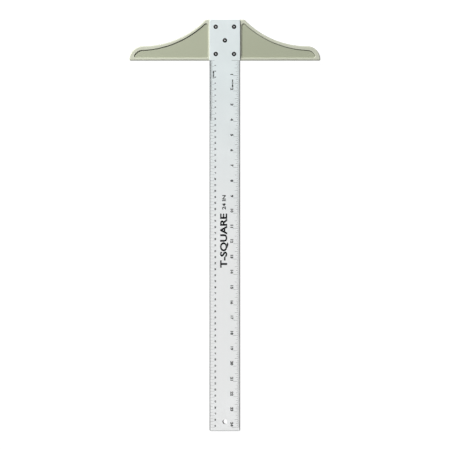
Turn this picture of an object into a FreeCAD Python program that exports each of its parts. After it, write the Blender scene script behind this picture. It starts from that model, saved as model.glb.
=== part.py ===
import FreeCAD, Part
import math
import os
import Sketcher

# A drafting T-square: a 24 inch aluminium blade, riveted across the face of a moulded plastic head.
#
# +X runs along the head, +Y from the blade's free end towards the head, and +Z out of the
# graduated face. The origin is on the blade's underside, in the middle of its width, where the
# head's guide edge crosses it, so the scales count from Y = 0 down to the free end. The head's
# face is the plane Z = 0 and its thickness lies below it.

PARTS_FOLDER = "parts"

# Driving dimensions in millimetres, one sheet cell each.
DIMENSIONS = {
    # Blade
    "blade_width": 50.8,
    "blade_thickness": 1.27,
    "scale_length": 609.6,
    "scale_margin": 6.35,
    "blade_corner_radius": 2.4,
    "blade_edge_radius": 0.5,
    "blade_edge_break": 0.2,
    "hang_hole_diameter": 7.94,
    "hang_hole_inset": 15.4,
    # Head: the outline
    "head_span": 317.5,
    "head_height": 68.0,
    "head_thickness": 7.0,
    "foot_radius": 1.8,
    "tip_radius": 22.0,
    "flank_radius": 145.0,
    "shoulder_radius": 4.0,
    "crown_radius": 1.6,
    "heel_radius": 0.5,
    # Head: the sunk panel in each wing
    "panel_depth": 1.0,
    "panel_inset": 28.0,
    "guide_rim_width": 4.4,
    "tip_rim_width": 7.0,
    "panel_flank_x": 144.0,
    "panel_flank_y": 178.0,
    "panel_apex_radius": 3.5,
    "panel_corner_radius": 2.0,
    "panel_foot_radius": 3.0,
    "lip_radius": 0.75,
    # Head: the cored back
    "core_depth": 3.8,
    "wall_width": 3.2,
    "rib_width": 2.0,
    "rib_pitch": 32.0,
    "core_corner_radius": 1.0,
    # Rivets: one at each corner of a rectangle and one in its middle
    "rivet_columns": 30.4,
    "rivet_rows": 45.3,
    "rivet_middle": 33.2,
    "rivet_hole_diameter": 3.3,
    "shank_diameter": 3.2,
    "flange_diameter": 6.4,
    "flange_lip": 0.3,
    "flange_rise": 0.95,
    "flange_dome_radius": 4.0,
    "mouth_diameter": 2.5,
    "mouth_depth": 0.35,
    "bore_diameter": 1.95,
    "bulb_foot_diameter": 4.0,
    "bulb_length": 1.8,
    "bulb_radius": 1.3,
    # Rivet pins
    "pin_diameter": 1.85,
    "pin_sink": 0.3,
    "pin_point": 0.2,
    "pin_head_diameter": 2.9,
    "pin_head_length": 1.0,
    "pin_head_lip": 0.5,
    # Rivet washers
    "washer_diameter": 9.5,
    "washer_thickness": 0.8,
    "washer_hole_diameter": 3.3,
}

# Where each rivet stands, in half steps of the columns and rows.
RIVET_PLACES = {
    "top_left": (-1, 1),
    "top_right": (1, 1),
    "middle": (0, 0),
    "bottom_left": (-1, -1),
    "bottom_right": (1, -1),
}

RIBS_PER_WING = 3

# How near two heights count as one, and how far an edge has to turn to count as a corner.
NEAR = 1e-4
SHARP_DEGREES = 5.0


class Size:
    """A length in millimetres, together with the sheet expression that gives it."""

    def __init__(self, value, text):
        self.value = value
        self.text = text

    def join(self, sign, other, value):
        other_text = other.text if isinstance(other, Size) else repr(other)
        return Size(value, f"({self.text} {sign} {other_text})")

    def __add__(self, other):
        return self.join("+", other, self.value + number(other))

    def __sub__(self, other):
        return self.join("-", other, self.value - number(other))

    def __mul__(self, other):
        return self.join("*", other, self.value * number(other))

    def __truediv__(self, other):
        return self.join("/", other, self.value / number(other))

    def __neg__(self):
        return self * -1


def number(size):
    return size.value if isinstance(size, Size) else size


def make_sheet(doc):
    """Write the driving dimensions to a sheet and give them back as sizes by name."""
    sheet = doc.addObject("Spreadsheet::Sheet", "dims")
    for row, (name, value) in enumerate(DIMENSIONS.items(), start=1):
        sheet.set(f"A{row}", name)
        sheet.set(f"B{row}", str(value))
        sheet.setAlias(f"B{row}", name)
    doc.recompute()
    return {name: Size(float(getattr(sheet, name)), f"dims.{name}") for name in DIMENSIONS}


# Helpers for bodies, sketches and features


def new_body(doc, name):
    body = doc.addObject("PartDesign::Body", name)
    body.Label = name
    return body


def origin_plane(body, role):
    return next(plane for plane in body.Origin.OriginFeatures if plane.Role == role)


def new_sketch(body, name, role="XY_Plane", height=None):
    """A sketch on one of the body's own origin planes, or at a height above that plane."""
    sketch = body.newObject("Sketcher::SketchObject", name)
    sketch.AttachmentSupport = [(origin_plane(body, role), "")]
    sketch.MapMode = "FlatFace"
    if height is not None:
        sketch.setExpression("AttachmentOffset.Base.z", height.text)
    return sketch


def bind(owner, path, size):
    owner.setExpression(path, size.text)


def constrain(sketch, size, kind, *references):
    """Add a dimension to a sketch and bind it to the sheet."""
    index = sketch.addConstraint(Sketcher.Constraint(kind, *references, number(size)))
    bind(sketch, f"Constraints[{index}]", size)


def pin_point(sketch, line, end, x, y):
    """Fix a sketch point by its distances from the sketch's origin, an axis where it is 0."""
    for size, kind, axis in ((x, "DistanceX", -2), (y, "DistanceY", -1)):
        if isinstance(size, Size):
            constrain(sketch, size, kind, -1, 1, line, end)
        elif size is not None:
            sketch.addConstraint(Sketcher.Constraint("PointOnObject", line, end, axis))


def line_through(first, last):
    return Part.LineSegment(FreeCAD.Vector(*first, 0), FreeCAD.Vector(*last, 0))


def bulge_arc(first, last, radius):
    """The arc from first to last that bulges to the right of the way from one to the other."""
    first = FreeCAD.Vector(*first, 0)
    last = FreeCAD.Vector(*last, 0)
    chord = last - first
    sagitta = radius - math.sqrt(radius**2 - (chord.Length / 2) ** 2)
    right = FreeCAD.Vector(chord.y, -chord.x, 0).normalize()
    return Part.Arc(first, (first + last) / 2 + right * sagitta, last)


def draw_profile(sketch, corners, bulges=None):
    """A closed outline through bound corners. bulges gives an arc's radius by its first corner.

    A bulging stretch has to run anticlockwise about its own centre.
    """
    bulges = bulges or {}
    spots = [(number(x), number(y)) for x, y in corners]
    count = len(corners)
    for index, spot in enumerate(spots):
        following = spots[(index + 1) % count]
        if index in bulges:
            sketch.addGeometry(bulge_arc(spot, following, number(bulges[index])), False)
        else:
            sketch.addGeometry(line_through(spot, following), False)
    for index in range(count):
        sketch.addConstraint(Sketcher.Constraint("Coincident", index, 2, (index + 1) % count, 1))
    for index, (x, y) in enumerate(corners):
        pin_point(sketch, index, 1, x, y)
    for index, radius in bulges.items():
        constrain(sketch, radius, "Radius", index)


def draw_circle(sketch, radius, x=0.0, y=0.0):
    centre = FreeCAD.Vector(number(x), number(y), 0)
    index = sketch.addGeometry(Part.Circle(centre, FreeCAD.Vector(0, 0, 1), number(radius)), False)
    pin_point(sketch, index, 3, x, y)
    constrain(sketch, radius, "Radius", index)


def pad(body, sketch, length, downwards=False):
    feature = body.newObject("PartDesign::Pad", f"{sketch.Name}_pad")
    feature.Profile = sketch
    feature.Reversed = downwards
    bind(feature, "Length", length)
    body.Document.recompute()
    return feature


def pocket(body, sketch, depth=None, upwards=False):
    """Cut a sketch to a depth, or right through both ways. It has to take something away."""
    before = body.Shape.Volume
    feature = body.newObject("PartDesign::Pocket", f"{sketch.Name}_pocket")
    feature.Profile = sketch
    feature.Reversed = upwards
    if depth is None:
        feature.Type = "ThroughAll"
        feature.SideType = "Symmetric"
    else:
        bind(feature, "Length", depth)
    body.Document.recompute()
    if body.Shape.Volume > before - NEAR:
        raise RuntimeError(f"{feature.Name} removes nothing")
    return feature


def revolve(body, sketch):
    feature = body.newObject("PartDesign::Revolution", f"{sketch.Name}_turned")
    feature.Profile = sketch
    feature.ReferenceAxis = (sketch, ["V_Axis"])
    feature.Angle = 360
    body.Document.recompute()
    return feature


def round_edges(body, name, radius, pick, height):
    """Fillet the edges that pick(shape, height) finds on the body."""
    base = body.Tip
    shape = base.Shape
    picked = pick(shape, number(height))
    names = [
        f"Edge{n}"
        for n, edge in enumerate(shape.Edges, start=1)
        if any(edge.isSame(wanted) for wanted in picked)
    ]
    feature = body.newObject("PartDesign::Fillet", name)
    feature.Base = (base, names)
    bind(feature, "Radius", radius)
    body.Document.recompute()
    return feature


def place(body, x, y, z):
    for axis, size in zip("xyz", (x, y, z)):
        if isinstance(size, Size):
            bind(body, f"Placement.Base.{axis}", size)


def level_face(shape, height):
    """The shape's largest level face at a height."""
    boxes = [(face, face.BoundBox) for face in shape.Faces]
    level = [f for f, box in boxes if box.ZLength < NEAR and abs(box.ZMin - height) < NEAR]
    return max(level, key=lambda face: face.Area)


def outer_edges(shape, height):
    return level_face(shape, height).OuterWire.Edges


def cut_out_edges(shape, height):
    """The edges of the openings in a level face, apart from its round holes."""
    face = level_face(shape, height)
    inner = [wire for wire in face.Wires if not wire.isSame(face.OuterWire)]
    return [edge for wire in inner if len(wire.Edges) > 1 for edge in wire.Edges]


def is_sharp(shape, edge):
    """Whether the two faces that meet at an edge turn a corner there."""
    middle = edge.valueAt((edge.FirstParameter + edge.LastParameter) / 2)
    faces = shape.ancestorsOfType(edge, Part.Face)
    normals = [face.normalAt(*face.Surface.parameter(middle)) for face in faces]
    return len(normals) == 2 and math.degrees(normals[0].getAngle(normals[1])) > SHARP_DEGREES


def upright_corners(shape, height):
    """The sharp upright edges that rise from a height."""
    boxes = [(edge, edge.BoundBox) for edge in shape.Edges]
    upright = [(edge, box) for edge, box in boxes if max(box.XLength, box.YLength) < NEAR]
    return [e for e, box in upright if abs(box.ZMin - height) < NEAR and is_sharp(shape, e)]


# Blade


def make_blade(doc, d):
    """The strip: its corners and upper edges are rounded, and its lower edges just broken."""
    body = new_body(doc, "blade")
    top_end = d["head_height"]
    free_end = -(d["scale_length"] + d["scale_margin"])
    side = d["blade_width"] / 2
    outline = new_sketch(body, "blade_outline")
    draw_profile(outline, [(-side, free_end), (side, free_end), (side, top_end), (-side, top_end)])
    pad(body, outline, d["blade_thickness"])

    round_edges(body, "blade_corners", d["blade_corner_radius"], upright_corners, 0)

    holes = new_sketch(body, "blade_holes")
    draw_circle(holes, d["hang_hole_diameter"] / 2, 0, free_end + d["hang_hole_inset"])
    for across, along in RIVET_PLACES.values():
        draw_circle(holes, d["rivet_hole_diameter"] / 2, *rivet_spot(d, across, along))
    pocket(body, holes)

    round_edges(body, "upper_edges", d["blade_edge_radius"], outer_edges, d["blade_thickness"])
    round_edges(body, "lower_edges", d["blade_edge_break"], outer_edges, 0)
    return body


# Head


def flank_centre(d):
    """The centre of the long hollow arc of the right wing, which the tip's arc runs into."""
    x = d["head_span"] / 2 - d["tip_radius"]
    y = d["foot_radius"] + d["tip_radius"] + d["flank_radius"]
    return x, y


def touching_round(centre, flank_radius, radius, x=None, y=None):
    """The centre of a round that touches the flank from inside the wing, given one coordinate."""
    reach = flank_radius + radius
    if x is None:
        return centre[0] - math.sqrt(reach**2 - (centre[1] - y) ** 2), y
    return x, centre[1] - math.sqrt(reach**2 - (centre[0] - x) ** 2)


def arc_about(centre, radius, start_degrees, end_degrees):
    circle = Part.Circle(FreeCAD.Vector(*centre, 0), FreeCAD.Vector(0, 0, 1), radius)
    return Part.ArcOfCircle(circle, math.radians(start_degrees), math.radians(end_degrees))


def degrees_to(centre, spot):
    return math.degrees(math.atan2(spot[1] - centre[1], spot[0] - centre[0]))


def draw_head_outline(sketch, d):
    """The right half: guide edge, foot, tip, long hollow flank, shoulder and top."""
    half_span = number(d["head_span"]) / 2
    height = number(d["head_height"])
    foot, tip, flank, shoulder = (
        number(d[name]) for name in ("foot_radius", "tip_radius", "flank_radius", "shoulder_radius")
    )
    centre_x, centre_y = (number(size) for size in flank_centre(d))
    shoulder_x, shoulder_y = touching_round(
        (centre_x, centre_y), flank, shoulder, y=height - shoulder
    )
    lean = degrees_to((centre_x, centre_y), (shoulder_x, shoulder_y))
    guide, foot_arc, tip_arc, flank_arc, shoulder_arc, top, middle = range(7)
    sketch.addGeometry(line_through((0, 0), (half_span - foot, 0)), False)
    sketch.addGeometry(arc_about((half_span - foot, foot), foot, -90, 0), False)
    sketch.addGeometry(arc_about((half_span - tip, foot), tip, 0, 90), False)
    sketch.addGeometry(arc_about((centre_x, centre_y), flank, lean, -90), False)
    sketch.addGeometry(arc_about((shoulder_x, shoulder_y), shoulder, lean + 180, 90), False)
    sketch.addGeometry(line_through((shoulder_x, height), (0, height)), False)
    sketch.addGeometry(line_through((0, height), (0, 0)), False)
    rules = [
        ("Coincident", guide, 1, -1, 1),
        ("Horizontal", guide),
        ("Tangent", guide, 2, foot_arc, 1),
        ("Tangent", foot_arc, 2, tip_arc, 1),
        ("Tangent", tip_arc, 2, flank_arc, 2),
        ("Tangent", flank_arc, 1, shoulder_arc, 1),
        ("Tangent", shoulder_arc, 2, top, 1),
        ("Horizontal", top),
        ("Coincident", top, 2, middle, 1),
        ("Coincident", middle, 2, guide, 1),
        ("PointOnObject", top, 2, -2),
        ("Horizontal", foot_arc, 3, tip_arc, 3),
        ("Vertical", tip_arc, 3, flank_arc, 3),
    ]
    for rule in rules:
        sketch.addConstraint(Sketcher.Constraint(*rule))
    constrain(sketch, d["foot_radius"], "Radius", foot_arc)
    constrain(sketch, d["tip_radius"], "Radius", tip_arc)
    constrain(sketch, d["flank_radius"], "Radius", flank_arc)
    constrain(sketch, d["shoulder_radius"], "Radius", shoulder_arc)
    constrain(sketch, d["head_span"] / 2, "DistanceX", -1, 1, foot_arc, 2)
    constrain(sketch, d["head_height"], "DistanceY", -1, 1, top, 2)


def draw_panel(sketch, d):
    """The sunk panel of the right wing. Its rim widens from the apex towards the tip."""
    low = d["guide_rim_width"]
    inset = d["panel_inset"]
    tip_radius = d["tip_radius"] - d["tip_rim_width"]
    tip_centre = (d["head_span"] / 2 - d["tip_radius"], d["foot_radius"])
    hollow_centre = (d["panel_flank_x"], d["panel_flank_y"])
    apex, corner, foot = (
        number(d[name]) for name in ("panel_apex_radius", "panel_corner_radius", "panel_foot_radius")
    )
    left, bottom, tip = (number(size) for size in (inset, low, tip_radius))
    tip_spot = tuple(number(size) for size in tip_centre)
    flank_spot = tuple(number(size) for size in hollow_centre)
    flank_radius = math.dist(tip_spot, flank_spot) - tip
    apex_spot = touching_round(flank_spot, flank_radius, apex, x=left + apex)
    lean = degrees_to(flank_spot, apex_spot)
    join = degrees_to(flank_spot, tip_spot)
    foot_rise = bottom + foot - tip_spot[1]
    foot_spot = (tip_spot[0] + math.sqrt((tip - foot) ** 2 - foot_rise**2), bottom + foot)
    foot_join = degrees_to(tip_spot, foot_spot)
    guide, foot_arc, tip_arc, flank, peak, inner, turn = range(7)
    sketch.addGeometry(line_through((left + corner, bottom), (foot_spot[0], bottom)), False)
    sketch.addGeometry(arc_about(foot_spot, foot, -90, foot_join), False)
    sketch.addGeometry(arc_about(tip_spot, tip, foot_join, join + 180), False)
    sketch.addGeometry(arc_about(flank_spot, flank_radius, lean, join), False)
    sketch.addGeometry(arc_about(apex_spot, apex, lean + 180, 180), False)
    sketch.addGeometry(line_through((left, apex_spot[1]), (left, bottom + corner)), False)
    sketch.addGeometry(arc_about((left + corner, bottom + corner), corner, 180, 270), False)
    rules = [
        ("Horizontal", guide),
        ("Vertical", inner),
        ("Tangent", guide, 2, foot_arc, 1),
        ("Tangent", foot_arc, 2, tip_arc, 1),
        ("Tangent", tip_arc, 2, flank, 2),
        ("Tangent", flank, 1, peak, 1),
        ("Tangent", peak, 2, inner, 1),
        ("Tangent", inner, 2, turn, 1),
        ("Tangent", turn, 2, guide, 1),
    ]
    for rule in rules:
        sketch.addConstraint(Sketcher.Constraint(*rule))
    pin_point(sketch, flank, 3, *hollow_centre)
    pin_point(sketch, tip_arc, 3, *tip_centre)
    constrain(sketch, tip_radius, "Radius", tip_arc)
    constrain(sketch, d["panel_foot_radius"], "Radius", foot_arc)
    constrain(sketch, d["panel_apex_radius"], "Radius", peak)
    constrain(sketch, d["panel_corner_radius"], "Radius", turn)
    constrain(sketch, low, "DistanceY", -1, 1, guide, 1)
    constrain(sketch, inset, "DistanceX", -1, 1, inner, 1)


def draw_core_cell(sketch, d, left, right=None, reaches_top=False):
    """One cell of the cored back, between two ribs. With no right rib it runs on round the tip."""
    wall = d["wall_width"]
    centre = flank_centre(d)
    flank_radius = d["flank_radius"] + wall
    centre_x, centre_y, radius = (number(size) for size in (*centre, flank_radius))
    low, near = number(wall), number(left)

    def flank_y(x):
        return centre_y - math.sqrt(radius**2 - (x - centre_x) ** 2)

    if reaches_top:
        top = number(d["head_height"] - wall)
        high_spot = (centre_x - math.sqrt(radius**2 - (centre_y - top) ** 2), top)
    else:
        top = flank_y(near)
        high_spot = (near, top)
    high_degrees = degrees_to((centre_x, centre_y), high_spot)
    first = sketch.GeometryCount
    chain = []

    def add(shape, enter=1, leave=2):
        chain.append((sketch.addGeometry(shape, False), enter, leave))

    if right is None:
        tip_radius = number(d["tip_radius"] - wall)
        tip_centre = (centre_x, number(d["foot_radius"]))
        rise = math.asin((low - tip_centre[1]) / tip_radius)
        far = centre_x + tip_radius * math.cos(rise)
        add(line_through((near, low), (far, low)))
        add(arc_about(tip_centre, tip_radius, math.degrees(rise), 90))
        add(arc_about((centre_x, centre_y), radius, high_degrees, -90), 2, 1)
    else:
        far = number(right)
        low_degrees = degrees_to((centre_x, centre_y), (far, flank_y(far)))
        add(line_through((near, low), (far, low)))
        add(line_through((far, low), (far, flank_y(far))))
        add(arc_about((centre_x, centre_y), radius, high_degrees, low_degrees), 2, 1)
    if reaches_top:
        add(line_through(high_spot, (near, top)))
    add(line_through((near, top), (near, low)))

    bottom, side, flank = first, first + 1, first + 2
    for (here, _, leave), (following, enter, _) in zip(chain, chain[1:] + chain[:1]):
        meeting = "Tangent" if right is None and here == side else "Coincident"
        sketch.addConstraint(Sketcher.Constraint(meeting, here, leave, following, enter))
    sketch.addConstraint(Sketcher.Constraint("Horizontal", bottom))
    sketch.addConstraint(Sketcher.Constraint("Vertical", chain[-1][0]))
    pin_point(sketch, bottom, 1, left, wall)
    pin_point(sketch, flank, 3, *centre)
    constrain(sketch, flank_radius, "Radius", flank)
    if right is None:
        pin_point(sketch, side, 3, centre[0], d["foot_radius"])
    else:
        sketch.addConstraint(Sketcher.Constraint("Vertical", side))
        constrain(sketch, right, "DistanceX", -1, 1, side, 1)
    if reaches_top:
        sketch.addConstraint(Sketcher.Constraint("Horizontal", chain[-2][0]))
        constrain(sketch, d["head_height"] - wall, "DistanceY", -1, 1, chain[-1][0], 1)


def draw_core(sketch, d):
    """The cored back of the right half: a bay for the rivet tails, then the cells of the wing."""
    wall = d["wall_width"]
    bay_side = d["panel_inset"] - d["rib_width"]
    bay_top = d["head_height"] - wall
    draw_profile(sketch, [(0, wall), (bay_side, wall), (bay_side, bay_top), (0, bay_top)])
    left = d["panel_inset"]
    for rib in range(RIBS_PER_WING):
        right = d["panel_inset"] + d["rib_pitch"] * (rib + 1) - d["rib_width"]
        draw_core_cell(sketch, d, left, right, reaches_top=rib == 0)
        left = right + d["rib_width"]
    draw_core_cell(sketch, d, left)


def make_head(doc, d):
    """The moulding: right half first, then its mirror image."""
    body = new_body(doc, "head")
    outline = new_sketch(body, "head_outline")
    draw_head_outline(outline, d)
    pad(body, outline, d["head_thickness"], downwards=True)

    panel = new_sketch(body, "panel")
    draw_panel(panel, d)
    pocket(body, panel, d["panel_depth"])

    core = new_sketch(body, "core", height=-d["head_thickness"])
    draw_core(core, d)
    pocket(body, core, d["core_depth"], upwards=True)

    holes = new_sketch(body, "head_rivet_holes")
    for across, along in RIVET_PLACES.values():
        if across >= 0:
            draw_circle(holes, d["rivet_hole_diameter"] / 2, *rivet_spot(d, across, along))
    pocket(body, holes)

    mirror = body.newObject("PartDesign::Mirrored", "left_half")
    mirror.TransformMode = "Whole shape"
    mirror.MirrorPlane = (origin_plane(body, "YZ_Plane"), [""])
    body.Tip = mirror
    doc.recompute()

    back = -d["head_thickness"]
    round_edges(body, "core_corners", d["core_corner_radius"], upright_corners, back)
    round_edges(body, "crown", d["crown_radius"], outer_edges, 0)
    round_edges(body, "heel", d["heel_radius"], outer_edges, back)
    round_edges(body, "lip", d["lip_radius"], cut_out_edges, 0)
    return body


# Rivets, their pins and their washers


def rivet_spot(d, across, along):
    """Where a rivet stands, in steps of half a column and half a row from the middle one."""
    x = d["rivet_columns"] / 2 * across if across else 0
    return x, d["rivet_middle"] + d["rivet_rows"] / 2 * along


def grip(d):
    """The stack that a rivet clamps: blade, head and washer."""
    return d["blade_thickness"] + d["head_thickness"] - d["core_depth"] + d["washer_thickness"]


def make_rivet(doc, d, name, x, y):
    """A set blind rivet, its flange seated on the blade and its tail swollen behind the washer.

    It is turned about its own axis, with height 0 at the flange's seat.
    """
    body = new_body(doc, name)
    profile = new_sketch(body, f"{name}_profile", "XZ_Plane")
    bore, shank, mouth, flange, bulb_foot = (
        d[f"{part}_diameter"] / 2 for part in ("bore", "shank", "mouth", "flange", "bulb_foot")
    )
    rise = d["flange_rise"]
    seat = -grip(d)
    tail = seat - d["bulb_length"]
    corners = [
        (bore, tail),
        (shank, tail),
        (bulb_foot, seat),
        (shank, seat),
        (shank, 0),
        (flange, 0),
        (flange, d["flange_lip"]),
        (mouth, rise),
        (bore, rise - d["mouth_depth"]),
    ]
    draw_profile(profile, corners, {1: d["bulb_radius"], 6: d["flange_dome_radius"]})
    revolve(body, profile)
    place(body, x, y, d["blade_thickness"])
    return body


def make_pin(doc, d, name, x, y):
    """What is left of the rivet's mandrel: the head that swelled the tail, and the broken stem."""
    body = new_body(doc, name)
    profile = new_sketch(body, f"{name}_profile", "XZ_Plane")
    stem = d["pin_diameter"] / 2
    head = d["pin_head_diameter"] / 2
    break_height = d["flange_rise"] - d["pin_sink"]
    seat = -grip(d) - d["bulb_length"]
    tail = seat - d["pin_head_length"]
    corners = [
        (0, tail),
        (head - d["pin_head_lip"], tail),
        (head, tail + d["pin_head_lip"]),
        (head, seat),
        (stem, seat),
        (stem, break_height - d["pin_point"]),
        (stem - d["pin_point"], break_height),
        (0, break_height),
    ]
    draw_profile(profile, corners)
    revolve(body, profile)
    place(body, x, y, d["blade_thickness"])
    return body


def make_washer(doc, d, name, x, y):
    """The ring that spreads the rivet's tail over the head's back."""
    body = new_body(doc, name)
    ring = new_sketch(body, f"{name}_ring")
    draw_circle(ring, d["washer_diameter"] / 2)
    draw_circle(ring, d["washer_hole_diameter"] / 2)
    pad(body, ring, d["washer_thickness"], downwards=True)
    place(body, x, y, d["core_depth"] - d["head_thickness"])
    return body


def make_all(doc):
    d = make_sheet(doc)
    bodies = [make_blade(doc, d), make_head(doc, d)]
    for place_name, (across, along) in RIVET_PLACES.items():
        x, y = rivet_spot(d, across, along)
        bodies.append(make_rivet(doc, d, f"rivet_{place_name}", x, y))
        bodies.append(make_pin(doc, d, f"rivet_pin_{place_name}", x, y))
        bodies.append(make_washer(doc, d, f"rivet_washer_{place_name}", x, y))
    doc.recompute()
    return bodies


def check(doc, bodies):
    """Stop at any feature that failed and any sub-part that isn't one valid solid."""
    for item in doc.Objects:
        if {"Invalid", "Error"} & set(item.State):
            raise RuntimeError(f"{item.Name} failed: {item.State}")
    for body in bodies:
        shape = body.Shape
        if shape.isNull() or not shape.isValid() or len(shape.Solids) != 1:
            raise RuntimeError(f"{body.Label} isn't one valid solid")


def export(bodies):
    os.makedirs(PARTS_FOLDER, exist_ok=True)
    for body in bodies:
        body.Shape.exportStep(os.path.join(PARTS_FOLDER, f"{body.Label}.step"))
        box = body.Shape.BoundBox
        size = f"{box.XLength:.2f} x {box.YLength:.2f} x {box.ZLength:.2f} mm"
        print(f"{body.Label}: {size}, {body.Shape.Volume:.1f} mm3")


document = FreeCAD.newDocument("t_square")
sub_parts = make_all(document)
check(document, sub_parts)
export(sub_parts)
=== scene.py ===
import math

import bmesh
import bpy
from mathutils import Matrix, Vector


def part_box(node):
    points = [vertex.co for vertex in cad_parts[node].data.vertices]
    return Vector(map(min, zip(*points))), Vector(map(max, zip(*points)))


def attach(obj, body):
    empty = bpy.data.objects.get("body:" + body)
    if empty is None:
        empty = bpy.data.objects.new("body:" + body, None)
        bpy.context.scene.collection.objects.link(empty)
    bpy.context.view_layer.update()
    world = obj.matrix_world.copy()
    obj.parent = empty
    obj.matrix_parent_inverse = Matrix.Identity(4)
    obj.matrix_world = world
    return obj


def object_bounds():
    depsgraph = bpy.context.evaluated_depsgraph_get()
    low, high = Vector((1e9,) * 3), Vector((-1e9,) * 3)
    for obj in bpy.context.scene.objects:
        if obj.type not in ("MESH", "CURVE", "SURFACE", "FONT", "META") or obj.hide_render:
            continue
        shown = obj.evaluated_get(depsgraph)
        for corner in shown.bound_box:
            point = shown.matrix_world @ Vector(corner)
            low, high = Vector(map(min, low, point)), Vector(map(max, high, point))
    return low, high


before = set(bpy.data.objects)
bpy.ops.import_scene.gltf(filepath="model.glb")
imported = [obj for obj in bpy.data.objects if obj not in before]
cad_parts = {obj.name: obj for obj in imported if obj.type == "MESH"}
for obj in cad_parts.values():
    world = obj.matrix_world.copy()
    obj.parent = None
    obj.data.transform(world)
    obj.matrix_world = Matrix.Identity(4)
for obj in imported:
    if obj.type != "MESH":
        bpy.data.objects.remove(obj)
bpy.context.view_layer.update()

# A drafting T-square, lying face up. +Y runs up the blade to its head, and the guide edge, where
# both scales count from, is the line Y = 0. Lengths are in metres, and the print's own sizes are
# given in millimetres.

MM = 0.001
INCH_MM = 25.4

RIVET_PLACES = ("top_left", "top_right", "middle", "bottom_left", "bottom_right")

# How far in from the blade's edges the painted shade along them reaches, and how strong it is at
# the free end.
BLADE_SHADE_WIDTH = 0.0015
END_SHADE = 0.6

# Round each rivet, a ring of painted shade lies on the blade just outside the flange, and the paint
# is off its middle. Both end over a short ramp.
FLANGE_RADIUS = 0.0032
SHADE_RING_WIDTH = 0.00055
BARE_RADIUS = 0.00095
RAMP = 0.0002

# The right wing's hollow flank and rounded tip, seen face on: each arc's centre and radius. The
# panel sunk into the wing has arcs of its own.
HEAD_FLANK = ((0.13675, 0.1688), 0.145)
HEAD_TIP = ((0.13675, 0.0018), 0.022)
PANEL_FLANK = ((0.144, 0.178), 0.16135)
PANEL_TIP = ((0.13675, 0.0018), 0.015)
PANEL_DEPTH = 0.001

# How far below the head's face, the plane Z = 0, the painted highlight on its rim ends, and how
# strong it is.
RIM_DEPTH = 0.0008
RIM_HIGHLIGHT = 0.55

# Painted shade on the head: its strength and width along the outer edge, how far down the side it
# is full, and its width in the corner under a panel's lip.
EDGE_SHADE = 0.5
EDGE_SHADE_WIDTH = 0.0008
EDGE_SHADE_DEPTH = 0.0016
PANEL_SHADE_WIDTH = 0.0012

# The hanging hole, and how far the glowing disc of floor under it lies from its middle, in
# millimetres;
# the crescent of the hole that it leaves dark is a painted shadow. Past the hole's rim the floor
# lights up again, between these two multiples of its radius.
HOLE_INSET = 15.4
HOLE_RADIUS = 3.97
HOLE_GLOW_SHIFT = (1.6, 0.6)
HOLE_SURROUND = (1.2, 1.3)

# The floor: how bright it glows, how far it reaches each way, and its gap below the object.
FLOOR_GLOW = 0.98
FLOOR_REACH = 8.0
FLOOR_GAP = 0.00005

# Lamps: each one's place from the object's middle, its diameter and its power in watts.
KEY_LIGHT = ((-1.87, 2.25, 1.30), 0.16, 192.0)
OVERHEAD_LIGHT = ((0.0, -1.3, 3.0), 2.2, 24.0)
WORLD_STRENGTH = 0.045

# The camera's place over the blade, its distance, and the width that it sees there.
CAMERA_X = 0.00025
CAMERA_Y = -0.2736
CAMERA_DISTANCE = 4.16
CAMERA_VIEW_WIDTH = 0.748
SENSOR_WIDTH = 36.0

# How long each scale is, and how much of the metric one has millimetre and half millimetre lines.
CENTIMETRES = 61
FINE_CENTIMETRES = 10
INCHES = 24

# Print, in millimetres: how wide a line is, how far from the blade's edge it starts, and how far
# the ink stands above the blade and reaches into it.
CENTIMETRE_LINE_WIDTH = 0.2
INCH_LINE_WIDTH = 0.33
EDGE_CLEARANCE = 0.5
INK_RISE = 0.02
INK_ROOT = 0.01

# How far from the blade's edge each line ends. Inch lines go by their spacing in sixteenths.
CENTIMETRE_LINE = 8.3
HALF_CENTIMETRE_LINE = 5.2
MILLIMETRE_LINE = 4.4
HALF_MILLIMETRE_LINE = 2.7
END_LINE = 14.0
INCH_LINES = {16: 11.5, 8: 9.0, 4: 7.0, 2: 5.5, 1: 4.0}

# Figures: their height, their middle line's distance from the blade's edge, how far before its
# line a figure ends, and how much bolder and wider than the plain typeface they are.
CENTIMETRE_FIGURE = {"height": 2.6, "inset": 9.5, "gap": 1.2, "weight": 0.075, "widen": 1.1}
INCH_FIGURE = {"height": 4.7, "inset": 13.8, "gap": 1.2, "weight": 0.052, "widen": 1.2}


# Materials


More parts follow.
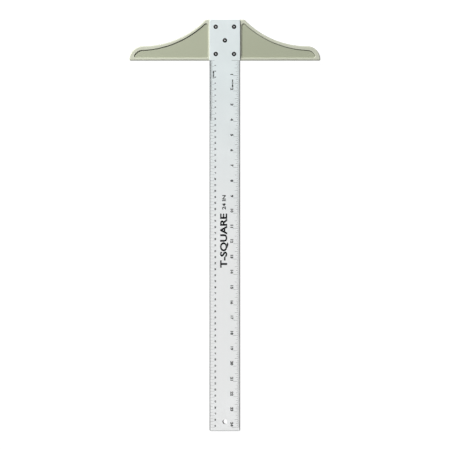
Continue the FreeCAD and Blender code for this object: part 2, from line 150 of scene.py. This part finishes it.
class Shader:
    """A procedural material, with short ways to add the nodes that this scene uses."""

    def __init__(self, name, **values):
        self.material = bpy.data.materials.new(name)
        self.material.use_nodes = True
        self.tree = self.material.node_tree
        self.surface = self.tree.nodes["Principled BSDF"]
        for socket, value in values.items():
            self.surface.inputs[socket.replace("_", " ")].default_value = value

    def node(self, kind, sockets=None, **settings):
        node = self.tree.nodes.new(kind)
        for name, value in settings.items():
            setattr(node, name, value)
        for key, value in (sockets or {}).items():
            if isinstance(value, bpy.types.NodeSocket):
                self.tree.links.new(value, node.inputs[key])
            else:
                node.inputs[key].default_value = value
        return node

    def place(self, stretch=(1.0, 1.0, 1.0), turn=0.0):
        """Positions on the object, in metres, stretched along the object's axes."""
        where = self.node("ShaderNodeTexCoord").outputs["Object"]
        sockets = {"Vector": where, "Scale": stretch, "Rotation": (0.0, 0.0, turn)}
        return self.node("ShaderNodeMapping", sockets).outputs["Vector"]

    def noise(self, place, scale, detail=3.0, roughness=0.5):
        sockets = {"Vector": place, "Scale": scale, "Detail": detail, "Roughness": roughness}
        return self.node("ShaderNodeTexNoise", sockets).outputs["Fac"]

    def fit(self, value, low, high, to_low, to_high):
        """Map a value from one range to another, held at the ends."""
        sockets = {0: value, 1: low, 2: high, 3: to_low, 4: to_high}
        return self.node("ShaderNodeMapRange", sockets).outputs["Result"]

    def calculate(self, operation, first, second=0.0):
        return self.node("ShaderNodeMath", {0: first, 1: second}, operation=operation).outputs[0]

    def distance(self, point, target):
        sockets = {0: point, 1: target}
        return self.node("ShaderNodeVectorMath", sockets, operation="DISTANCE").outputs["Value"]

    def blend(self, factor, first, second):
        """Mix two colours."""
        sockets = {0: factor, 6: first, 7: second}
        return self.node("ShaderNodeMix", sockets, data_type="RGBA").outputs[2]

    def bump(self, height, strength, depth, below=None):
        sockets = {"Height": height, "Strength": strength, "Distance": depth}
        if below is not None:
            sockets["Normal"] = below
        return self.node("ShaderNodeBump", sockets).outputs["Normal"]

    def drive(self, socket, value):
        self.tree.links.new(value, self.surface.inputs[socket])


def rgba(red, green, blue):
    return (red, green, blue, 1.0)


def rivet_distance(shader):
    """The distance, seen face on, from the nearest rivet's axis."""
    flat = shader.place((1.0, 1.0, 0.0))
    nearest = None
    for place in RIVET_PLACES:
        low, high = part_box(f"rivet_{place}")
        axis = ((low.x + high.x) / 2, (low.y + high.y) / 2, 0.0)
        away = shader.distance(flat, axis)
        nearest = away if nearest is None else shader.calculate("MINIMUM", nearest, away)
    return nearest


def blade_edge(shader):
    """Painted shade: 1 on the blade's bare long edges and END_SHADE on its free end, falling to 0
    within BLADE_SHADE_WIDTH."""
    low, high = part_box("blade")
    axes = shader.node("ShaderNodeSeparateXYZ", {0: shader.place()}).outputs
    out = shader.calculate("ABSOLUTE", axes["X"])
    # Noise makes the inner limit of the painted shade ragged.
    worn = shader.noise(shader.place(), 400.0, 3.0)
    inner = shader.fit(worn, 0.3, 0.7, high.x - BLADE_SHADE_WIDTH, high.x - BLADE_SHADE_WIDTH * 0.8)
    side = shader.fit(out, inner, high.x - BLADE_SHADE_WIDTH * 0.6, 0.0, 1.0)
    bare = shader.fit(axes["Y"], -0.001, 0.0, 1.0, 0.0)
    reach = low.y + BLADE_SHADE_WIDTH
    end = shader.fit(axes["Y"], low.y, reach, END_SHADE, 0.0)
    return shader.calculate("MAXIMUM", shader.calculate("MULTIPLY", side, bare), end)


def blade_metal():
    """Clear-anodised aluminium: rolled grain along its length and a few hairlines. Painted light
    makes it paler toward the free end, with painted shade along the bare edges, across the free end
    and round the rivets."""
    shader = Shader("blade_metal")
    grain = shader.noise(shader.place((3000.0, 30.0, 3000.0)), 1.0, 2.0)
    cloud = shader.noise(shader.place(), 22.0, 4.0, 0.6)
    fleck = shader.noise(shader.place(), 2600.0, 2.0)
    hairline = shader.noise(shader.place((700.0, 6.0, 700.0), math.radians(4.0)), 1.0, 2.0)
    scratch = shader.fit(hairline, 0.70, 0.74, 0.0, 1.0)
    along = shader.node("ShaderNodeSeparateXYZ", {0: shader.place()}).outputs["Y"]
    # Painted light: darker and cooler near the head, paler and neutral toward the free end.
    cool_shaded = shader.blend(cloud, rgba(0.77, 0.845, 0.85), rgba(0.81, 0.88, 0.885))
    neutral_lit = shader.blend(cloud, rgba(0.90, 0.91, 0.91), rgba(0.935, 0.94, 0.935))
    silver = shader.blend(shader.fit(along, -0.30, -0.02, 1.0, 0.0), cool_shaded, neutral_lit)
    silver = shader.blend(shader.fit(fleck, 0.3, 0.7, 0.0, 0.25), silver, rgba(0.88, 0.92, 0.92))
    silver = shader.blend(shader.calculate("MULTIPLY", scratch, 0.2), silver, rgba(0.9, 0.9, 0.9))
    # Painted shade: a dark ring on the blade round each rivet's flange, and dark lines along its
    # edges.
    shade_ring_edge = FLANGE_RADIUS + SHADE_RING_WIDTH
    shade_ring = shader.fit(rivet_distance(shader), shade_ring_edge - RAMP, shade_ring_edge + RAMP, 1.0, 0.0)
    painted_shade = shader.calculate("MAXIMUM", blade_edge(shader), shade_ring)
    shader.drive("Base Color", shader.blend(painted_shade, silver, rgba(0.03, 0.032, 0.034)))
    shader.drive("Metallic", shader.fit(painted_shade, 0.0, 1.0, 0.35, 0.2))
    shader.drive("Roughness", shader.fit(cloud, 0.3, 0.7, 0.40, 0.48))
    rolled = shader.bump(grain, 0.12, 0.00002)
    shader.drive("Normal", shader.bump(scratch, 0.1, 0.00001, rolled))
    return shader.material


def wing_place(shader):
    """A point of either wing moved to the right one, seen face on, then its distance across from
    the middle, its distance along the blade and its height."""
    axes = shader.node("ShaderNodeSeparateXYZ", {0: shader.place()}).outputs
    across = shader.calculate("ABSOLUTE", axes["X"])
    point = shader.node("ShaderNodeCombineXYZ", {"X": across, "Y": axes["Y"]}).outputs[0]
    return point, across, axes["Y"], axes["Z"]


def from_arcs(shader, point, across, flank, tip):
    """How far a point lies inside the outline that a wing's flank arc makes up to its tip's
    centre, and its tip arc past it. Each arc is (centre, radius)."""
    flank_centre, flank_radius = flank
    tip_centre, tip_radius = tip
    flank_distance = shader.distance(point, (*flank_centre, 0.0))
    tip_distance = shader.distance(point, (*tip_centre, 0.0))
    flank_inside = shader.calculate("SUBTRACT", flank_distance, flank_radius)
    tip_inside = shader.calculate("SUBTRACT", tip_radius, tip_distance)
    # A metre more takes an arc out of the running where the other one is the outline.
    past_flank = shader.calculate("GREATER_THAN", across, tip_centre[0])
    before_tip = shader.calculate("LESS_THAN", across, tip_centre[0])
    flank_inside = shader.calculate("ADD", flank_inside, past_flank)
    tip_inside = shader.calculate("ADD", tip_inside, before_tip)
    return shader.calculate("MINIMUM", flank_inside, tip_inside)


def head_grime(shader):
    """Painted shade on the head: EDGE_SHADE on its outer upper edge and 1 in the corner under its
    panels' lip, where their shadow falls, falling to 0 elsewhere."""
    point, across, along, height = wing_place(shader)
    inside = from_arcs(shader, point, across, HEAD_FLANK, HEAD_TIP)
    inside = shader.calculate("MINIMUM", inside, along)
    # Painted shade along the outer upper edge.
    edge = shader.fit(inside, RAMP, EDGE_SHADE_WIDTH, EDGE_SHADE, 0.0)
    upper = shader.fit(height, -2 * EDGE_SHADE_DEPTH, -EDGE_SHADE_DEPTH, 0.0, 1.0)
    rim = shader.calculate("MULTIPLY", edge, upper)
    # Painted shadow in the corner under a panel's lip.
    inside = from_arcs(shader, point, across, PANEL_FLANK, PANEL_TIP)
    corner = shader.fit(inside, 2 * RAMP, PANEL_SHADE_WIDTH, 1.0, 0.0)
    just_below_panel = -1.1 * PANEL_DEPTH
    for value, limit in ((inside, 0.0), (height, just_below_panel)):
        beyond = shader.calculate("GREATER_THAN", value, limit)
        corner = shader.calculate("MULTIPLY", corner, beyond)
    sunk = shader.fit(height, -RIM_DEPTH, -RIM_DEPTH / 2, 1.0, 0.0)
    return shader.calculate("MAXIMUM", rim, shader.calculate("MULTIPLY", corner, sunk))


def head_rim(shader):
    """1 on the head's upper face, where its rim is painted paler as a highlight, and 0 in the sunk
    panels below it.
    """
    height = shader.node("ShaderNodeSeparateXYZ", {0: shader.place()}).outputs["Z"]
    return shader.fit(height, -RIM_DEPTH, -RIM_DEPTH / 2, 0.0, 1.0)


def head_plastic():
    """Satin moulded plastic, greenish beige, with a fine spark-eroded texture, a painted highlight
    on its rim and painted shade along its outer edge and in its corners."""
    shader = Shader("head_plastic", IOR=1.5)
    cloud = shader.noise(shader.place(), 9.0, 3.0)
    speck = shader.noise(shader.place(), 1800.0, 3.0, 0.6)
    base = shader.blend(cloud, rgba(0.335, 0.357, 0.257), rgba(0.368, 0.388, 0.286))
    base = shader.blend(shader.fit(speck, 0.35, 0.65, 0.0, 0.18), base, rgba(0.455, 0.475, 0.37))
    # Painted highlight: the rim is paler than the sunk panels.
    rim = shader.calculate("MULTIPLY", head_rim(shader), RIM_HIGHLIGHT)
    base = shader.blend(rim, base, rgba(0.62, 0.63, 0.53))
    # Painted shade along the outer edge and in the corners under the panels' lip.
    base = shader.blend(head_grime(shader), base, rgba(0.09, 0.095, 0.07))
    shader.drive("Base Color", base)
    shader.drive("Roughness", shader.fit(cloud, 0.3, 0.7, 0.42, 0.52))
    pores = shader.bump(speck, 0.18, 0.00005)
    ripple = shader.noise(shader.place(), 70.0, 2.0)
    shader.drive("Normal", shader.bump(ripple, 0.05, 0.0003, pores))
    return shader.material


def rivet_black():
    """Black paint over metal, with a slight orange peel, chipped and worn off round the mouth."""
    shader = Shader("rivet_black", IOR=1.5, Specular_IOR_Level=0.25)
    peel = shader.noise(shader.place(), 1500.0, 3.0)
    chip = shader.fit(shader.noise(shader.place(), 900.0, 4.0, 0.7), 0.70, 0.74, 0.0, 1.0)
    bare = shader.fit(rivet_distance(shader), BARE_RADIUS, BARE_RADIUS + RAMP, 1.0, 0.0)
    paint = shader.blend(chip, rgba(0.003, 0.003, 0.004), rgba(0.1, 0.1, 0.1))
    shader.drive("Base Color", shader.blend(bare, paint, rgba(0.9, 0.9, 0.89)))
    shader.drive("Metallic", shader.calculate("MULTIPLY", bare, 0.5))
    shader.drive("Roughness", shader.fit(peel, 0.3, 0.7, 0.45, 0.6))
    shader.drive("Normal", shader.bump(peel, 0.15, 0.00004))
    return shader.material


def pin_steel():
    """Bright drawn steel with a torn end."""
    shader = Shader("pin_steel", Metallic=0.7)
    tear = shader.noise(shader.place(), 2600.0, 4.0, 0.65)
    shader.drive("Base Color", shader.blend(tear, rgba(0.86, 0.86, 0.85), rgba(0.97, 0.97, 0.96)))
    shader.drive("Roughness", shader.fit(tear, 0.3, 0.7, 0.25, 0.5))
    shader.drive("Normal", shader.bump(tear, 0.3, 0.00006))
    return shader.material


def washer_steel():
    """Zinc plate: dull, faintly mottled."""
    shader = Shader("washer_steel", Metallic=1.0)
    mottle = shader.noise(shader.place(), 600.0, 4.0, 0.6)
    shader.drive("Base Color", shader.blend(mottle, rgba(0.46, 0.48, 0.50), rgba(0.66, 0.67, 0.64)))
    shader.drive("Roughness", shader.fit(mottle, 0.3, 0.7, 0.35, 0.55))
    shader.drive("Normal", shader.bump(mottle, 0.1, 0.00003))
    return shader.material


def ink():
    """Matt black screen-printing ink, a little uneven in its density."""
    shader = Shader("ink", IOR=1.45, Specular_IOR_Level=0.2)
    patch = shader.noise(shader.place(), 1200.0, 3.0, 0.6)
    density = shader.blend(patch, rgba(0.004, 0.004, 0.005), rgba(0.016, 0.016, 0.018))
    shader.drive("Base Color", density)
    shader.drive("Roughness", shader.fit(patch, 0.3, 0.7, 0.5, 0.65))
    shader.drive("Normal", shader.bump(patch, 0.1, 0.00001))
    return shader.material


def finish_cad_nodes():
    """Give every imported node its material."""
    metals = {"rivet": rivet_black(), "rivet_pin": pin_steel(), "rivet_washer": washer_steel()}
    finishes = {"blade": blade_metal(), "head": head_plastic()}
    for place in RIVET_PLACES:
        finishes.update({f"{part}_{place}": finish for part, finish in metals.items()})
    for node, material in finishes.items():
        for material_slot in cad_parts[node].material_slots:
            material_slot.material = material


# Print on the blade


def new_piece(name, mesh, material):
    """A piece of the object that rides on its only body."""
    piece = bpy.data.objects.new(name, mesh)
    bpy.context.scene.collection.objects.link(piece)
    mesh.materials.clear()
    mesh.materials.append(material)
    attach(piece, "root")
    return piece


def box_faces(first):
    """The six sides of a box whose eight corners start at a vertex."""
    sides = [(0, 3, 2, 1), (4, 5, 6, 7), (0, 1, 5, 4), (1, 2, 6, 5), (2, 3, 7, 6), (3, 0, 4, 7)]
    return [tuple(first + corner for corner in side) for side in sides]


def ruled_lines(name, lines, width, side, material):
    """One mesh of printed lines. Each is (distance from zero, length from the edge) in mm."""
    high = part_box("blade")[1]
    edge = high.x / MM
    bottom, top = high.z / MM - INK_ROOT, high.z / MM + INK_RISE
    vertices = []
    faces = []
    for distance, length in lines:
        faces += box_faces(len(vertices))
        across = sorted((side * (edge - EDGE_CLEARANCE), side * (edge - length)))
        along = (-distance - width / 2, -distance + width / 2)
        for z in (bottom, top):
            left, right = across
            near, far = along
            vertices += [(left, near, z), (right, near, z), (right, far, z), (left, far, z)]
    mesh = bpy.data.meshes.new(name)
    mesh.from_pydata([Vector(v) * MM for v in vertices], [], faces)
    return new_piece(name, mesh, material)


def centimetre_lines():
    """The metric scale's lines, counted in half millimetres."""
    lines = []
    for halves in range(CENTIMETRES * 20 + 1):
        distance = halves / 2
        fine = distance <= FINE_CENTIMETRES * 10
        if halves % 20 == 0:
            lines.append((distance, CENTIMETRE_LINE))
        elif halves % 10 == 0:
            lines.append((distance, HALF_CENTIMETRE_LINE))
        elif fine:
            lines.append((distance, MILLIMETRE_LINE if halves % 2 == 0 else HALF_MILLIMETRE_LINE))
    return lines


def inch_lines():
    """The inch scale's lines, counted in sixteenths."""
    lines = []
    for sixteenths in range(INCHES * 16 + 1):
        if sixteenths in (0, INCHES * 16):
            length = END_LINE
        else:
            length = next(size for part, size in INCH_LINES.items() if sixteenths % part == 0)
        lines.append((sixteenths * INCH_MM / 16, length))
    return lines


def letter_mesh(text, height, length=None, weight=0.0, widen=1.0, ends=False):
    """A flat, closed mesh of one line of text, in millimetres, centred on the origin or, if ends
    is set, ending there. It is as long as length says, or else widen times its natural length."""
    curve = bpy.data.curves.new("letters", "FONT")
    curve.body = text
    curve.resolution_u = 3
    curve.extrude = (INK_RISE + INK_ROOT) / 2
    curve.offset = weight
    carrier = bpy.data.objects.new("letters", curve)
    bpy.context.scene.collection.objects.link(carrier)
    mesh = bpy.data.meshes.new_from_object(carrier)
    bpy.data.objects.remove(carrier)
    bpy.data.curves.remove(curve)
    tall = [v.co.y for v in mesh.vertices]
    wide = [v.co.x for v in mesh.vertices]
    scale = height / (max(tall) - min(tall))
    stretch = scale * widen if length is None else length / (max(wide) - min(wide))
    pivot = max(wide) if ends else (max(wide) + min(wide)) / 2
    middle = (max(tall) + min(tall)) / 2
    for vertex in mesh.vertices:
        vertex.co.x = (vertex.co.x - pivot) * stretch
        vertex.co.y = (vertex.co.y - middle) * scale
    return mesh


def lettering(name, labels, material):
    """One mesh of printed text. Each label is (text, x, y, quarter turns, letter options)."""
    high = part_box("blade")[1]
    level = high.z + (INK_RISE - INK_ROOT) / 2 * MM
    joined = bmesh.new()
    for text, x, y, turns, options in labels:
        mesh = letter_mesh(text, **options)
        spot = Matrix.Translation((x * MM, y * MM, level))
        turned = spot @ Matrix.Rotation(math.radians(90.0) * turns, 4, "Z") @ Matrix.Scale(MM, 4)
        mesh.transform(turned)
        joined.from_mesh(mesh)
        bpy.data.meshes.remove(mesh)
    bmesh.ops.remove_doubles(joined, verts=joined.verts, dist=0.000001)
    mesh = bpy.data.meshes.new(name)
    joined.to_mesh(mesh)
    joined.free()
    return new_piece(name, mesh, material)


def figures(count, step, side, style):
    """The numbers of one scale, reading down the blade with their feet to the left."""
    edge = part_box("blade")[1].x / MM
    options = {name: style[name] for name in ("height", "weight", "widen")}
    options["ends"] = True
    labels = []
    for value in range(1, count + 1):
        y = style["gap"] - value * step
        labels.append((str(value), side * (edge - style["inset"]), y, -1, options))
    return labels


def print_blade():
    """Both scales, their unit names and the plain title down the middle."""
    black = ink()
    ruled_lines("centimetre_lines", centimetre_lines(), CENTIMETRE_LINE_WIDTH, -1, black)
    ruled_lines("inch_lines", inch_lines(), INCH_LINE_WIDTH, 1, black)
    lettering("centimetre_figures", figures(CENTIMETRES, 10.0, -1, CENTIMETRE_FIGURE), black)
    lettering("inch_figures", figures(INCHES, INCH_MM, 1, INCH_FIGURE), black)
    units = [
        ("METRIC", -19.0, -23.6, -1, {"height": 2.3, "length": 12.3, "weight": 0.07}),
        ("INCHES", 12.8, -38.5, -1, {"height": 2.3, "length": 13.1, "weight": 0.07}),
    ]
    lettering("unit_names", units, black)
    title = [
        ("T-SQUARE", -1.0, -299.5, 1, {"height": 14.0, "length": 90.0, "weight": 0.035}),
        ("24 IN", -1.4, -236.0, 1, {"height": 6.0, "length": 24.0, "weight": 0.025}),
    ]
    lettering("title", title, black)


# Stage


def add_camera():
    """Straight down from far off, the head at the top of the picture."""
    camera = bpy.data.cameras.new("camera")
    camera.sensor_width = SENSOR_WIDTH
    camera.lens = SENSOR_WIDTH * CAMERA_DISTANCE / CAMERA_VIEW_WIDTH
    viewer = bpy.data.objects.new("camera", camera)
    viewer.location = (CAMERA_X, CAMERA_Y, CAMERA_DISTANCE)
    bpy.context.scene.collection.objects.link(viewer)
    bpy.context.scene.camera = viewer


def add_light(name, lamp, target):
    """A round lamp that faces a target. Each lamp is (place from the target, size, power)."""
    offset, size, power = lamp
    light = bpy.data.lights.new(name, "AREA")
    light.shape = "DISK"
    light.size = size
    light.energy = power
    holder = bpy.data.objects.new(name, light)
    holder.location = target + Vector(offset)
    direction = target - holder.location
    holder.rotation_euler = direction.to_track_quat("-Z", "Y").to_euler()
    bpy.context.scene.collection.objects.link(holder)


def add_lights():
    low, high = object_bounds()
    middle = (Vector(low) + Vector(high)) / 2
    add_light("key", KEY_LIGHT, middle)
    add_light("overhead", OVERHEAD_LIGHT, middle)
    world = bpy.data.worlds.new("world")
    bpy.context.scene.world = world
    world.use_nodes = True
    background = world.node_tree.nodes["Background"]
    background.inputs["Color"].default_value = rgba(0.95, 0.97, 1.0)
    background.inputs["Strength"].default_value = WORLD_STRENGTH


def add_floor():
    """A pale floor that the head's guide edge and the blade's free end rest on. It glows, so that
    it stays white, except just round the hanging hole and in a crescent inside it, which is a
    painted shadow."""
    blade_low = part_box("blade")[0]
    head_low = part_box("head")[0]
    slope = (head_low.z - blade_low.z) / (head_low.y - blade_low.y)
    mesh = bpy.data.meshes.new("floor")
    vertices = []
    for x, y in ((-1, -1), (1, -1), (1, 1), (-1, 1)):
        level = blade_low.z + slope * (y * FLOOR_REACH - blade_low.y) - FLOOR_GAP
        vertices.append((x * FLOOR_REACH, y * FLOOR_REACH, level))
    mesh.from_pydata(vertices, [], [(0, 1, 2, 3)])
    floor = bpy.data.objects.new("floor", mesh)
    bpy.context.scene.collection.objects.link(floor)
    shader = Shader("floor", Roughness=0.9)
    shader.surface.inputs["Base Color"].default_value = rgba(0.08, 0.08, 0.08)
    shader.surface.inputs["Emission Color"].default_value = rgba(1.0, 1.0, 1.0)
    flat = shader.place((1.0, 1.0, 0.0))
    hole = Vector((0.0, blade_low.y + HOLE_INSET * MM, 0.0))
    glow_middle = hole + Vector((*HOLE_GLOW_SHIFT, 0.0)) * MM
    radius = HOLE_RADIUS * MM
    start, end = (radius * multiple for multiple in HOLE_SURROUND)
    # The glow is left out of a crescent inside the hanging hole: a painted shadow.
    glowing_disc = shader.fit(shader.distance(flat, glow_middle), radius - RAMP, radius, FLOOR_GLOW, 0.0)
    around = shader.fit(shader.distance(flat, hole), start, end, 0.0, FLOOR_GLOW)
    shader.drive("Emission Strength", shader.calculate("MAXIMUM", glowing_disc, around))
    mesh.materials.append(shader.material)


finish_cad_nodes()
print_blade()
add_camera()
add_lights()
add_floor()
bpy.context.scene.view_settings.view_transform = "Standard"
